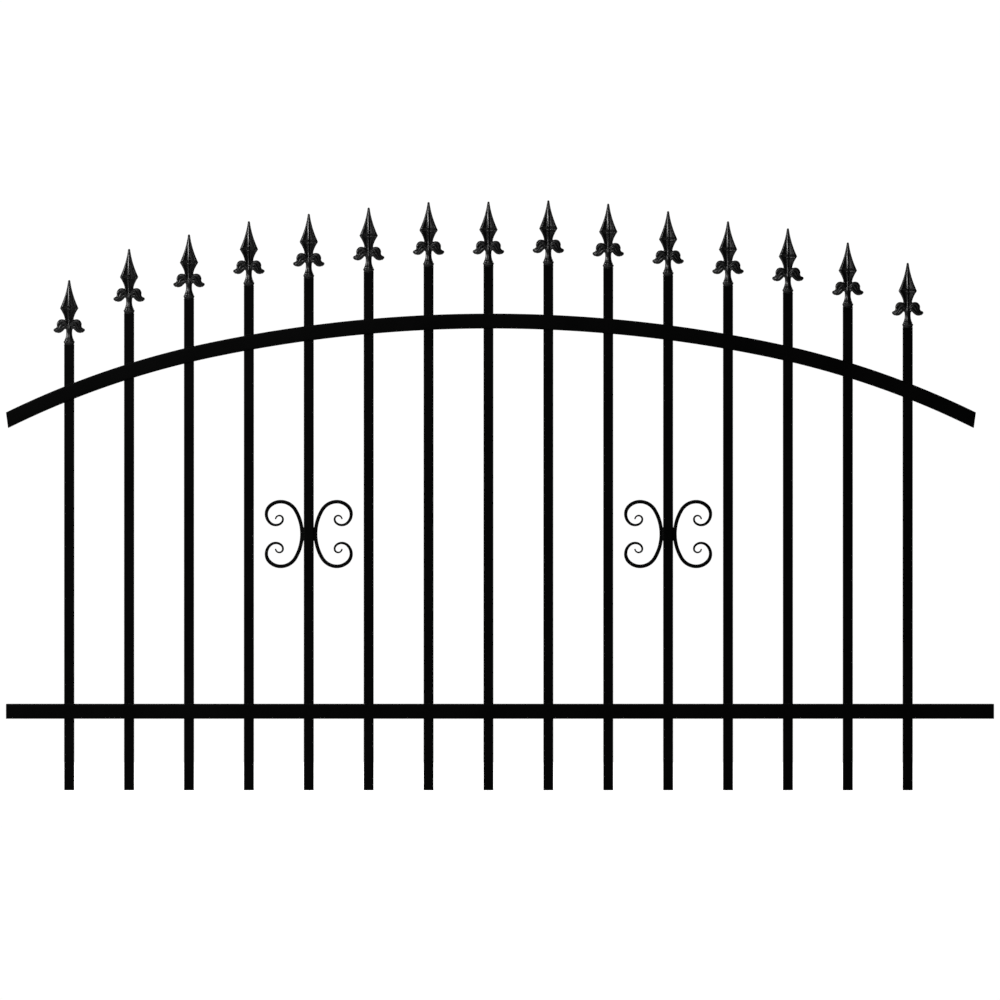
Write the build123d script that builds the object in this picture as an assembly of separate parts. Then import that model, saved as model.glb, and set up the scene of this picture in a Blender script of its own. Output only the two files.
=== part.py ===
from build123d import *
import os
from math import asin, cos, degrees, radians, sin, sqrt

# A fixed steel railing panel: 15 vertical square bars pass through a straight bottom rail
# and an arched top rail. Each bar carries a cast spear finial, and two bars carry scrolls.
#
# Millimetres, +Z up. X runs along the rails, and X = 0 is the middle of the bottom rail.
# The front faces -Y, and Y = 0 is the middle of every tube. Z = 0 is under the bar feet.

os.makedirs("parts", exist_ok=True)

# Bars
BAR_COUNT = 15
BAR_PITCH = 121.3
BAR_SIZE = 20.0
BAR_WALL = 1.5
BAR_CORNER = 2.0

# How far each bar stands above the arch's centreline. The bars are cut one by one,
# so the row of finials follows the arch without being quite even.
BAR_RISES = [96, 116, 112, 114, 110, 109, 112, 110, 115, 116, 114, 112, 122, 126, 127]

# Rails
RAIL_SIZE = 30.0
RAIL_WALL = 2.0
RAIL_CORNER = 2.5
HOLE_CLEARANCE = 0.2
LEFT_OVERHANG = 117.5
BOTTOM_RIGHT_OVERHANG = 164.3
TOP_RIGHT_OVERHANG = 127.6
BOTTOM_RAIL_HEIGHT = 160.0

# Arch of the top rail: a flat crown arc that runs on into a tighter arc at each side
ARCH_APEX = 950.3
CROWN_RADIUS = 2773.0
CROWN_HALF_SPAN = 567.0
SHOULDER_RADIUS = 1741.0
END_CUT_LEAN = 7.5

# Plates that close the rails, and plugs that close the bars
END_PLATE = 2.0
PLUG_HEAD = 2.0
PLUG_DEPTH = 16.0
BORE_CLEARANCE = 0.2
BORE_PIECE_CORNER = 1.0

# Cast finial, with heights above the top of its bar
FINIAL_BASE_SETBACK = 0.2
FINIAL_SPIGOT = 25.0
# Collar ring: how far it stands out, where it is widest, and how far it reaches up and down
COLLAR_STEP = 1.2
COLLAR_HEIGHT = 6.8
COLLAR_REACH = 2.2
# Stem: radius at its waist, and the further radius and height of each place on its flare
STEM_RADIUS = 6.1
STEM_FLARE = [(2.7, 11), (1.3, 15), (0, 24.5), (2.6, 36)]
# Outline of the right-hand leaf, from the middle and up: over the roll, down to the tip,
# and back under it to the stem
LEAF_DEPTH = 12.0
LEAF_ROLL = [(15, 53), (22.4, 49.8), (25.2, 42.2)]
LEAF_FALL = [(25.2, 42.2), (24.6, 36.7), (31.8, 30.8)]
LEAF_UNDERSIDE = [(31.8, 30.8), (29.7, 26.4), (24, 24.9), (15, 29.2), (8.6, 31)]
# Blade sections from the waist to the tip: height, half width, half depth
BLADE_SECTIONS = [(50, 9, 5), (57.5, 10.1, 5.6), (66, 13.5, 6.6), (75, 19.2, 7.5),
                  (83, 15.3, 6.4), (95, 10.6, 4.8), (112, 5.8, 3.2), (132.6, 1.9, 1.5)]

# Scrolls
SCROLL_BARS = [5, 11]
SCROLL_HEIGHT = 519.0
SCROLL_DEPTH = 12.0
SCROLL_STOCK = 7.4
SCROLL_TIP = 2.8
# Half of a scroll's centreline, from its belly beside the bar to the tip of the curl:
# radius and turn in degrees of each tangent arc
SCROLL_ARCS = [(94.5, 31), (34.7, 59), (31.6, 45), (22.7, 45), (24, 45), (17.5, 45),
               (15.8, 45), (10.4, 45), (7.3, 90), (7.6, 80)]
FULL_STOCK_ARCS = 3
# Turn in degrees between the places that fix a scroll's edges
SCROLL_STEP = 20

# Welds
WELD_LEG = 3.0
RAIL_WELD_LENGTH = 14.0
SCROLL_WELD_LENGTH = 26.0
FINIAL_WELD_HEIGHT = 1.4
FINIAL_WELD_TOE = 2.6
FINIAL_WELD_CREST = 0.5
# How far a raw bead reaches into the tube below before it is trimmed to the tube's skin
WELD_SINK = 1.0

# Values that follow from the sizes above
BAR_SPREAD = (BAR_COUNT - 1) * BAR_PITCH + BAR_SIZE
RAIL_LENGTH = LEFT_OVERHANG + BAR_SPREAD + BOTTOM_RIGHT_OVERHANG
TOP_RAIL_LENGTH = LEFT_OVERHANG + BAR_SPREAD + TOP_RIGHT_OVERHANG
LEFT_END = -RAIL_LENGTH / 2
FIRST_BAR_X = LEFT_END + LEFT_OVERHANG + BAR_SIZE / 2
ARCH_X = LEFT_END + TOP_RAIL_LENGTH / 2
BORE = BAR_SIZE - 2 * BAR_WALL
FINIAL_BASE_RADIUS = BAR_SIZE / 2 - FINIAL_BASE_SETBACK
# More than any rail or bar measures across, for cutting tools
CUTTER = 3 * RAIL_SIZE


def save(name, shape):
    """Name a piece and write it as one STEP file."""
    shape.label = name
    export_step(shape, f"parts/{name}.step")


def bar_x(index):
    """X of a bar's middle; index 0 is the leftmost bar."""
    return FIRST_BAR_X + index * BAR_PITCH


def arch_height(x, offset=0.0):
    """Height of the arch at x, on a line that runs offset mm above its centreline."""
    from_middle = abs(x - ARCH_X)
    turn = asin(CROWN_HALF_SPAN / CROWN_RADIUS)
    crown = CROWN_RADIUS + offset
    if from_middle <= crown * sin(turn):
        return ARCH_APEX - CROWN_RADIUS + sqrt(crown**2 - from_middle**2)
    shoulder = SHOULDER_RADIUS + offset
    centre_x = (CROWN_RADIUS - SHOULDER_RADIUS) * sin(turn)
    centre_z = ARCH_APEX - CROWN_RADIUS + (CROWN_RADIUS - SHOULDER_RADIUS) * cos(turn)
    return centre_z + sqrt(shoulder**2 - (from_middle - centre_x) ** 2)


def rail_section(size, corner, x, height):
    """Square section of a rail, upright across the rail at x."""
    return Plane(origin=(x, 0, height), z_dir=(1, 0, 0)) * RectangleRounded(size, size, corner)


def straight_bar(size, corner):
    """Solid square bar along the bottom rail, its ends still to be cut."""
    section = rail_section(size, corner, LEFT_END - CUTTER, BOTTOM_RAIL_HEIGHT)
    return extrude(section, RAIL_LENGTH + 2 * CUTTER)


def arched_bar(size, corner):
    """Solid square bar bent to the arch of the top rail, its ends still to be cut."""
    turn = asin(CROWN_HALF_SPAN / CROWN_RADIUS)
    crown_axis = Axis((ARCH_X, 0, ARCH_APEX - CROWN_RADIUS), (0, 1, 0))
    apex = rail_section(size, corner, ARCH_X, ARCH_APEX)
    crown = revolve(apex.rotate(crown_axis, -degrees(turn)), crown_axis, 2 * degrees(turn))
    inset = CROWN_RADIUS - SHOULDER_RADIUS
    shoulder_reach = TOP_RAIL_LENGTH / 2 + CUTTER - inset * sin(turn)
    shoulder_turn = asin(shoulder_reach / SHOULDER_RADIUS) - turn
    shoulder_x = ARCH_X + inset * sin(turn)
    shoulder_z = ARCH_APEX - CROWN_RADIUS + inset * cos(turn)
    shoulder_axis = Axis((shoulder_x, 0, shoulder_z), (0, 1, 0))
    joint = apex.rotate(crown_axis, degrees(turn))
    shoulder = revolve(joint, shoulder_axis, degrees(shoulder_turn))
    middle = Plane(origin=(ARCH_X, 0, 0), z_dir=(1, 0, 0))
    return crown + shoulder + mirror(shoulder, middle)


def rounded_bar(size, corner, length):
    """Solid square bar that stands on Z = 0."""
    return extrude(RectangleRounded(size, size, corner), length)


def rail_pieces(make_bar, left_cut, right_cut):
    """Tube and two end plates of a rail, between two cut planes that face outwards.

    Also gives the rail's outer shape as a solid, which trims the welds.
    """
    outer = make_bar(RAIL_SIZE, RAIL_CORNER)
    inner = make_bar(RAIL_SIZE - 2 * RAIL_WALL, RAIL_CORNER - RAIL_WALL)
    plates = []
    tube = outer - inner
    for cut in (left_cut, right_cut):
        seat = cut.offset(-END_PLATE)
        outer = split(outer, bisect_by=cut, keep=Keep.BOTTOM)
        plates.append(split(outer, bisect_by=seat, keep=Keep.TOP))
        tube = split(tube, bisect_by=seat, keep=Keep.BOTTOM)
    return tube, plates[0], plates[1], outer


def punched(tube, height_at):
    """Rail with a square hole for each bar through its upper and lower wall."""
    size = BAR_SIZE + 2 * HOLE_CLEARANCE
    punch = rounded_bar(size, BAR_CORNER + HOLE_CLEARANCE, CUTTER)
    for index in range(BAR_COUNT):
        x = bar_x(index)
        tube = tube - Pos(x, 0, height_at(x) - CUTTER / 2) * punch
    return tube


def rail_welds(outer, height_at):
    """Fillet welds on top of a rail, in front of and behind each bar."""
    half_length = RAIL_WELD_LENGTH / 2
    skin = RAIL_SIZE / 2
    beads = []
    for index in range(BAR_COUNT):
        x = bar_x(index)
        left = Vector(x - half_length, 0, height_at(x - half_length))
        right = Vector(x + half_length, 0, height_at(x + half_length))
        # Here the first direction points to the back and the second one down into the rail
        across = Plane(origin=(left + right) / 2, x_dir=(0, 1, 0), z_dir=right - left)
        for side in (-1, 1):
            root = side * BAR_SIZE / 2
            toe = root + side * WELD_LEG
            corners = [(root, WELD_SINK - skin), (toe, WELD_SINK - skin),
                       (toe, -skin), (root, -skin - WELD_LEG)]
            section = make_face(Polyline(*corners, close=True))
            beads.append(extrude(across * section, half_length, both=True) - outer)
    return beads


def bar_top(index):
    """Height of a bar's upper end."""
    return arch_height(bar_x(index)) + BAR_RISES[index]


def bar(index):
    """Square tube from its foot plug's head to the seat of its finial."""
    length = bar_top(index) - PLUG_HEAD
    bore_corner = BAR_CORNER - BAR_WALL
    tube = rounded_bar(BAR_SIZE, BAR_CORNER, length) - rounded_bar(BORE, bore_corner, length)
    return Pos(bar_x(index), 0, PLUG_HEAD) * tube


def foot_plug():
    """Plastic plug: a head of the bar's own outline and a body that fills the bore."""
    body = rounded_bar(BORE - 2 * BORE_CLEARANCE, BORE_PIECE_CORNER, PLUG_DEPTH)
    return rounded_bar(BAR_SIZE, BAR_CORNER, PLUG_HEAD) + Pos(0, 0, PLUG_HEAD) * body


def finial_turning():
    """Round foot of the finial: base, collar ring, bead and stem, turned about Z."""
    base = FINIAL_BASE_RADIUS
    collar = [(base, COLLAR_HEIGHT - COLLAR_REACH), (base + COLLAR_STEP, COLLAR_HEIGHT),
              (base, COLLAR_HEIGHT + COLLAR_REACH)]
    flare = [(STEM_RADIUS + further, height) for further, height in STEM_FLARE]
    outline = Polyline(flare[-1], (0, flare[-1][1]), (0, 0), (base, 0), collar[0])
    outline += ThreePointArc(*collar)
    outline += Line(collar[-1], flare[0])
    outline += Spline(*flare)
    return revolve(Plane.XZ * make_face(outline), Axis.Z)


def finial_leaves():
    """Pair of leaves that rise from the stem, roll over and end in pointed tips."""
    top, root = LEAF_ROLL[0], LEAF_UNDERSIDE[-1]
    outline = ThreePointArc(*LEAF_ROLL)
    outline += Spline(*LEAF_FALL)
    outline += Spline(*LEAF_UNDERSIDE)
    outline += Polyline(root, (0, root[1]), (0, top[1]), top)
    half = extrude(Plane.XZ * make_face(outline), LEAF_DEPTH / 2, both=True)
    return half + mirror(half, Plane.YZ)


def finial_blade():
    """Four-sided spear blade, widest low down, with a ridge along its front and back."""
    sections = []
    for height, half_width, half_depth in BLADE_SECTIONS:
        corners = [(half_width, 0), (0, half_depth), (-half_width, 0), (0, -half_depth)]
        sections.append(Pos(0, 0, height) * make_face(Polyline(*corners, close=True)))
    return loft(sections, ruled=True)


def finial():
    """One casting: spigot, turned foot, leaves and blade, with Z = 0 on top of the bar."""
    spigot = rounded_bar(BORE - 2 * BORE_CLEARANCE, BORE_PIECE_CORNER, FINIAL_SPIGOT)
    return finial_turning() + finial_leaves() + finial_blade() + Pos(0, 0, -FINIAL_SPIGOT) * spigot


def finial_weld():
    """Weld on the bar's square end, round the finial's base."""
    standing = (Align.CENTER, Align.CENTER, Align.MIN)
    base = FINIAL_BASE_RADIUS
    cone = Cone(base + FINIAL_WELD_TOE, base + FINIAL_WELD_CREST, FINIAL_WELD_HEIGHT, align=standing)
    trimmed = cone & rounded_bar(BAR_SIZE, BAR_CORNER, FINIAL_WELD_HEIGHT)
    return trimmed - Cylinder(base, FINIAL_WELD_HEIGHT, align=standing)


def scroll_edges():
    """Points on both edges of half a scroll, and its tip.

    The first coordinate is the distance from the bar's side, the second the height above
    the scroll's middle. The stock is full over the first arcs, then tapers to the tip.
    """
    total = sum(radius * radians(turn) for radius, turn in SCROLL_ARCS)
    full = sum(radius * radians(turn) for radius, turn in SCROLL_ARCS[:FULL_STOCK_ARCS])
    out, up, heading, travelled = SCROLL_STOCK / 2, 0.0, 0.0, 0.0
    outer, inner = [], []
    for radius, turn in SCROLL_ARCS:
        steps = max(2, round(turn / SCROLL_STEP))
        for _ in range(steps):
            step = radians(turn) / steps
            taper = max(0.0, (travelled - full) / (total - full))
            half = (SCROLL_STOCK + (SCROLL_TIP - SCROLL_STOCK) * taper) / 2
            outer.append((out - half * cos(heading), up + half * sin(heading)))
            inner.append((out + half * cos(heading), up - half * sin(heading)))
            out += radius * (cos(heading) - cos(heading + step))
            up += radius * (sin(heading + step) - sin(heading))
            heading += step
            travelled += radius * step
    half = SCROLL_TIP / 2
    outer.append((out - half * cos(heading), up + half * sin(heading)))
    inner.append((out + half * cos(heading), up - half * sin(heading)))
    tip = (out + half * sin(heading), up + half * cos(heading))
    return outer, inner, tip


def scroll(index, side):
    """C scroll on one side of a bar: side -1 is the bar's left, +1 its right."""
    outer, inner, tip = scroll_edges()
    outline = Spline(*outer, tangents=[(0, 1), (Vector(*outer[-1]) - Vector(*outer[-2]))])
    outline += ThreePointArc(outer[-1], tip, inner[-1])
    outline += Spline(*inner, tangents=[(0, 1), (Vector(*inner[-1]) - Vector(*inner[-2]))])
    outline += Line(inner[0], outer[0])
    half = extrude(Plane.XZ * make_face(outline), SCROLL_DEPTH / 2, both=True)
    whole = half + mirror(half, Plane.XY)
    if side < 0:
        whole = mirror(whole, Plane.YZ)
    return Pos(bar_x(index) + side * BAR_SIZE / 2, 0, SCROLL_HEIGHT) * whole


def scroll_welds(index, side):
    """Fillet welds in front of and behind a scroll's belly, against the bar's side."""
    wall = bar_x(index) + side * BAR_SIZE / 2
    beads = []
    for face in (-1, 1):
        level = face * SCROLL_DEPTH / 2
        corners = [(wall, level), (wall + side * WELD_LEG, level), (wall, level + face * WELD_LEG)]
        section = make_face(Polyline(*corners, close=True))
        beads.append(extrude(Pos(0, 0, SCROLL_HEIGHT) * section, SCROLL_WELD_LENGTH / 2, both=True))
    return beads


def bottom_height(x):
    """Height of the bottom rail's centreline, the same at every x."""
    return BOTTOM_RAIL_HEIGHT


# Bottom rail, cut square
left_cut = Plane(origin=(LEFT_END, 0, BOTTOM_RAIL_HEIGHT), z_dir=(-1, 0, 0))
right_cut = Plane(origin=(-LEFT_END, 0, BOTTOM_RAIL_HEIGHT), z_dir=(1, 0, 0))
tube, left_plate, right_plate, bottom_outer = rail_pieces(straight_bar, left_cut, right_cut)
save("bottom_rail", punched(tube, bottom_height))
save("bottom_rail_end_left", left_plate)
save("bottom_rail_end_right", right_plate)

# Top rail, its ends cut almost upright: the lower edge of each end leans inwards
top_left = LEFT_END
top_right = LEFT_END + TOP_RAIL_LENGTH
lean = radians(END_CUT_LEAN)
left_cut = Plane(origin=(top_left, 0, arch_height(top_left, RAIL_SIZE / 2)),
                 z_dir=(-cos(lean), 0, -sin(lean)))
right_cut = Plane(origin=(top_right, 0, arch_height(top_right, RAIL_SIZE / 2)),
                  z_dir=(cos(lean), 0, -sin(lean)))
tube, left_plate, right_plate, top_outer = rail_pieces(arched_bar, left_cut, right_cut)
save("top_rail", punched(tube, arch_height))
save("top_rail_end_left", left_plate)
save("top_rail_end_right", right_plate)

# Bars, finials and foot plugs
casting = finial()
seat_weld = finial_weld()
plug = foot_plug()
plugs = []
finial_welds = []
for index in range(BAR_COUNT):
    seat = Pos(bar_x(index), 0, bar_top(index))
    save(f"bar_{index + 1:02d}", bar(index))
    save(f"finial_{index + 1:02d}", seat * casting)
    finial_welds.append(seat * seat_weld)
    plugs.append(Pos(bar_x(index), 0, 0) * plug)
save("bar_foot_plugs", Compound(children=plugs))
save("finial_welds", Compound(children=finial_welds))

# Scrolls
beads = []
for number in SCROLL_BARS:
    for side, name in ((-1, "left"), (1, "right")):
        save(f"scroll_{number:02d}_{name}", scroll(number - 1, side))
        beads += scroll_welds(number - 1, side)
save("scroll_welds", Compound(children=beads))

# Rail welds
save("bottom_rail_welds", Compound(children=rail_welds(bottom_outer, bottom_height)))
save("top_rail_welds", Compound(children=rail_welds(top_outer, arch_height)))
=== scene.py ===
"""Garden gate panel: square bars in an arched frame, with spear finials and C scrolls.

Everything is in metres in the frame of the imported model: X runs along the rails, the
front faces -Y, and Z = 0 is under the feet of the bars.
"""

import logging
import math
from dataclasses import dataclass, field
from enum import Enum
from typing import Callable, Sequence

import bmesh
import bpy
import numpy as np
from mathutils import Matrix, Vector


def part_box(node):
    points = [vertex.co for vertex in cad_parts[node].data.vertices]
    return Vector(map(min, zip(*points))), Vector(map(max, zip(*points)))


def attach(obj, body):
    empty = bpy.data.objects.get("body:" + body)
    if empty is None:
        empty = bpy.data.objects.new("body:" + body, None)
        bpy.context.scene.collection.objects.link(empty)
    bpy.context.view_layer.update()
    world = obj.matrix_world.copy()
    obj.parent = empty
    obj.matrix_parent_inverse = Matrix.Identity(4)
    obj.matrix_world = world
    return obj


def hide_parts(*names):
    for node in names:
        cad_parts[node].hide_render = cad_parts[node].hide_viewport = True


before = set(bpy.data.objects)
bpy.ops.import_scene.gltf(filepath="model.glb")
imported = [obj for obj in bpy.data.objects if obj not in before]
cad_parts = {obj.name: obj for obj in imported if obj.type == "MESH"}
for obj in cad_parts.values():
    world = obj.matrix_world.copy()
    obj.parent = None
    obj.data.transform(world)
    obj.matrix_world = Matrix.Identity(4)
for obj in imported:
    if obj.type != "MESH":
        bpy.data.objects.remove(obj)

LOG = logging.getLogger("gate")
MM = 0.001
BODY = "root"

# Points closer than this are one point, in metres
MERGE_DISTANCE = 1e-7
# Edges that turn more than this are rounded
SHARP_EDGE = math.radians(50)

Ring = np.ndarray
Shell = tuple[np.ndarray, list[Sequence[int]]]
Corners = tuple[Vector, Vector]


class Side(Enum):
    """Side of a bar or end of a rail, as seen from the front."""

    LEFT = -1
    RIGHT = 1

    @property
    def word(self) -> str:
        """The side's name as the nodes spell it."""
        return self.name.lower()


class Slot(Enum):
    """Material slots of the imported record."""

    FRAME = "frame_coat"
    SCROLL = "scroll_coat"
    WELD = "weld_metal"
    FINIAL = "finial_iron"
    PLUG = "plug_plastic"


# ---------------------------------------------------------------------------------------
# Meshes
# ---------------------------------------------------------------------------------------


def mesh_from(name: str, vertices: np.ndarray, faces: list[Sequence[int]]) -> bpy.types.Mesh:
    """Make a mesh from points and faces.

    Args:
        name: Name of the new mesh.
        vertices: One row of X, Y, Z for each point, in metres.
        faces: Point numbers of each face.

    Returns:
        The new mesh, with normals that point outwards.
    """
    mesh = bpy.data.meshes.new(name)
    mesh.from_pydata([tuple(point) for point in vertices], [], faces)
    face_outwards(mesh)
    return mesh


def face_outwards(mesh: bpy.types.Mesh) -> None:
    """Merge a mesh's doubled points and turn all its faces outwards.

    Args:
        mesh: The mesh to mend, in place.
    """
    work = bmesh.new()
    work.from_mesh(mesh)
    bmesh.ops.remove_doubles(work, verts=work.verts, dist=MERGE_DISTANCE)
    bmesh.ops.recalc_face_normals(work, faces=work.faces)
    work.to_mesh(mesh)
    work.free()


def stack_rings(rings: Sequence[Ring]) -> Shell:
    """Skin a row of rings that have the same number of points, and close both ends.

    Args:
        rings: Closed loops of points, one after another along the shape.

    Returns:
        All points, and the faces between them.
    """
    around = len(rings[0])
    faces: list[Sequence[int]] = []
    for level in range(len(rings) - 1):
        low, high = level * around, (level + 1) * around
        for step in range(around):
            after = (step + 1) % around
            faces.append((low + step, low + after, high + after, high + step))
    last = (len(rings) - 1) * around
    faces.append(tuple(reversed(range(around))))
    faces.append(tuple(range(last, last + around)))
    return np.vstack(rings), faces


def join_shells(shells: Sequence[Shell]) -> Shell:
    """Put several closed shells into one.

    Args:
        shells: Points and faces of each closed shell.

    Returns:
        All points, and all faces with their numbers moved to match.
    """
    points: list[np.ndarray] = []
    faces: list[Sequence[int]] = []
    start = 0
    for shell_points, shell_faces in shells:
        points.append(shell_points)
        faces += [tuple(number + start for number in face) for face in shell_faces]
        start += len(shell_points)
    return np.vstack(points), faces


def through(points: Sequence[Sequence[float]], steps: int) -> np.ndarray:
    """Smooth line through points of any number of values, such as a place and a width.

    Args:
        points: The values that the line passes through.
        steps: How many places to give between one point and the next.

    Returns:
        One row for each place on the line.
    """
    rows = np.array(points, dtype=float)
    padded = np.vstack([2 * rows[0] - rows[1], rows, 2 * rows[-1] - rows[-2]])
    line = []
    for index in range(len(rows) - 1):
        before, start, end, after = padded[index:index + 4]
        for share in np.arange(steps) / steps:
            line.append(0.5 * (2 * start + (end - before) * share
                               + (2 * before - 5 * start + 4 * end - after) * share**2
                               + (3 * start - before - 3 * end + after) * share**3))
    line.append(rows[-1])
    return np.array(line)


def turned(profile: np.ndarray, around: int = 64) -> Shell:
    """Closed shape turned about Z.

    Args:
        profile: Rows of radius and height, from the bottom up.
        around: How many flats go round the shape.

    Returns:
        The shape's points and faces.
    """
    angles = np.arange(around) * 2 * math.pi / around
    rings = []
    for radius, height in profile:
        rings.append(np.column_stack([radius * np.cos(angles), radius * np.sin(angles),
                                      np.full(around, height)]))
    return stack_rings(rings)


def evaluated_copy(piece: bpy.types.Object, name: str) -> bpy.types.Mesh:
    """Plain mesh of an object as its modifiers leave it.

    Args:
        piece: The object, with its modifiers.
        name: Name of the new mesh.

    Returns:
        The new mesh.
    """
    depsgraph = bpy.context.evaluated_depsgraph_get()
    mesh = bpy.data.meshes.new_from_object(piece.evaluated_get(depsgraph), depsgraph=depsgraph)
    mesh.name = name
    return mesh


def with_modifiers(mesh: bpy.types.Mesh, add: Callable[[bpy.types.Object], None]) -> bpy.types.Mesh:
    """Run modifiers on a mesh and give back the plain result.

    Args:
        mesh: The mesh to work on; it is removed.
        add: Adds the modifiers to the object that it is given.

    Returns:
        The finished mesh, under the first one's name.
    """
    name = mesh.name
    worker = bpy.data.objects.new("worker", mesh)
    bpy.context.collection.objects.link(worker)
    add(worker)
    result = evaluated_copy(worker, name)
    bpy.data.objects.remove(worker)
    bpy.data.meshes.remove(mesh)
    result.name = name
    return result


def soften_edges(mesh: bpy.types.Mesh, width: float, segments: int = 2) -> bpy.types.Mesh:
    """Round a mesh's sharp edges and keep its flat faces flat in the light.

    Args:
        mesh: The mesh to work on; it is removed.
        width: How far the rounding reaches from each edge.
        segments: How many flats make up each rounding.

    Returns:
        The rounded mesh.
    """

    def add(worker: bpy.types.Object) -> None:
        """Add the rounding and the face-weighted normals.

        Args:
            worker: The object that gets them.
        """
        bevel = worker.modifiers.new("edges", "BEVEL")
        bevel.width = width
        bevel.segments = segments
        bevel.limit_method = "ANGLE"
        bevel.angle_limit = SHARP_EDGE
        weighted = worker.modifiers.new("normals", "WEIGHTED_NORMAL")
        weighted.keep_sharp = True

    mesh.shade_smooth()
    return with_modifiers(mesh, add)


def cut_off(mesh: bpy.types.Mesh, point: Vector, outwards: Vector) -> None:
    """Cut a closed mesh by a plane, drop what lies outwards of it and close the cut.

    Args:
        mesh: The mesh to cut, in place.
        point: Any point of the plane.
        outwards: The plane's normal, on the side that is dropped.
    """
    work = bmesh.new()
    work.from_mesh(mesh)
    everything = work.verts[:] + work.edges[:] + work.faces[:]
    cut = bmesh.ops.bisect_plane(work, geom=everything, dist=MERGE_DISTANCE,
                                 plane_co=point, plane_no=outwards, clear_outer=True)
    edges = [item for item in cut["geom_cut"] if isinstance(item, bmesh.types.BMEdge)]
    bmesh.ops.contextual_create(work, geom=edges)
    bmesh.ops.recalc_face_normals(work, faces=work.faces)
    work.to_mesh(mesh)
    work.free()


def finish_piece(name: str, mesh: bpy.types.Mesh, material: bpy.types.Material, slot: Slot,
                 *nodes: str) -> bpy.types.Object:
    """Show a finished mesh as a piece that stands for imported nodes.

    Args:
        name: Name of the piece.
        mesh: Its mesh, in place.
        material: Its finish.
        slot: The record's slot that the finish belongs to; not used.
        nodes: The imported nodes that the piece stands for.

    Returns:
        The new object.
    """
    mesh.materials.clear()
    mesh.materials.append(material)
    mesh.polygons.foreach_set("material_index", [0] * len(mesh.polygons))
    piece = bpy.data.objects.new(name, mesh)
    bpy.context.collection.objects.link(piece)
    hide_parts(*nodes)
    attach(piece, BODY)
    LOG.info("%s: %d faces, stands for %s", name, len(mesh.polygons), ", ".join(nodes))
    return piece


# ---------------------------------------------------------------------------------------
# Node trees
# ---------------------------------------------------------------------------------------


class Tree:
    """Builds one node tree by short calls, for shapes or for shaders."""

    def __init__(self, tree: bpy.types.NodeTree) -> None:
        """Start on a tree and empty it."""
        self.tree = tree
        tree.nodes.clear()

    def add(self, kind: str, inputs: dict | None = None, **settings: object) -> bpy.types.Node:
        """Add a node.

        Args:
            kind: Blender's name for the node type.
            inputs: Socket name or number to a plain value or to another node's output.
            settings: The node's own settings.

        Returns:
            The new node.
        """
        node = self.tree.nodes.new(kind)
        for key, value in settings.items():
            setattr(node, key, value)
        for key, value in (inputs or {}).items():
            self.feed(node, key, value)
        return node

    def feed(self, node: bpy.types.Node, key: str | int, value: object) -> None:
        """Set a socket to a plain value or link an output to it.

        Args:
            node: The node that is fed.
            key: Name or number of its socket.
            value: A plain value, or another node's output.
        """
        if isinstance(value, bpy.types.NodeSocket):
            self.tree.links.new(value, node.inputs[key])
        else:
            node.inputs[key].default_value = value

    def maths(self, operation: str, first: object, second: object = 0.0,
              third: object = 0.0) -> bpy.types.NodeSocket:
        """Work out a sum on numbers.

        Args:
            operation: Blender's name for the sum.
            first: First value or output.
            second: Second one, where the sum has it.
            third: Third one, where the sum has it.

        Returns:
            The output that holds the result.
        """
        node = self.add("ShaderNodeMath", {0: first, 1: second, 2: third}, operation=operation)
        return node.outputs[0]

    def vector(self, operation: str, first: object, second: object = (0.0, 0.0, 0.0),
               scale: object = 1.0) -> bpy.types.NodeSocket:
        """Work out a sum on vectors.

        Args:
            operation: Blender's name for the sum.
            first: First vector or output.
            second: Second one, where the sum has it.
            scale: Factor, where the sum has it.

        Returns:
            The output that holds the result.
        """
        node = self.add("ShaderNodeVectorMath", {0: first, 1: second, 3: scale},
                        operation=operation)
        return node.outputs["Vector"]

    def spread(self, value: object, low: float, high: float, to_low: object,
               to_high: object) -> bpy.types.NodeSocket:
        """Move a value from one range to another and hold it inside.

        Args:
            value: The value or output.
            low: Start of the first range.
            high: End of the first range.
            to_low: Start of the second range.
            to_high: End of the second range.

        Returns:
            The output that holds the result.
        """
        node = self.add("ShaderNodeMapRange", {"Value": value, "From Min": low, "From Max": high,
                                               "To Min": to_low, "To Max": to_high})
        return node.outputs["Result"]

    def socket(self, name: str, kind: str, default: object = None, output: bool = False) -> None:
        """Add a named input or output to the tree's own interface.

        Args:
            name: Name of the socket.
            kind: Blender's name for its type.
            default: Value that it has unless it is set.
            output: Whether it is an output.
        """
        made = self.tree.interface.new_socket(name, in_out="OUTPUT" if output else "INPUT",
                                              socket_type=kind)
        if default is not None:
            made.default_value = default


def run_tree(tree: bpy.types.NodeTree, mesh_or_curve: bpy.types.ID, name: str,
             values: dict[str, object]) -> bpy.types.Mesh:
    """Run a geometry tree on a shape and give back its plain mesh.

    Args:
        tree: The geometry node tree.
        mesh_or_curve: Mesh or curve data that goes in.
        name: Name of the resulting mesh.
        values: The tree's input names and what they are set to.

    Returns:
        The tree's result as a mesh.
    """
    worker = bpy.data.objects.new("worker", mesh_or_curve)
    bpy.context.collection.objects.link(worker)
    modifier = worker.modifiers.new("tree", "NODES")
    modifier.node_group = tree
    sockets = {item.name: item.identifier for item in tree.interface.items_tree
               if item.item_type == "SOCKET" and item.in_out == "INPUT"}
    for key, value in values.items():
        modifier[sockets[key]] = value
    result = evaluated_copy(worker, name)
    worker.modifiers.remove(modifier)
    bpy.data.objects.remove(worker)
    return result


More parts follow.
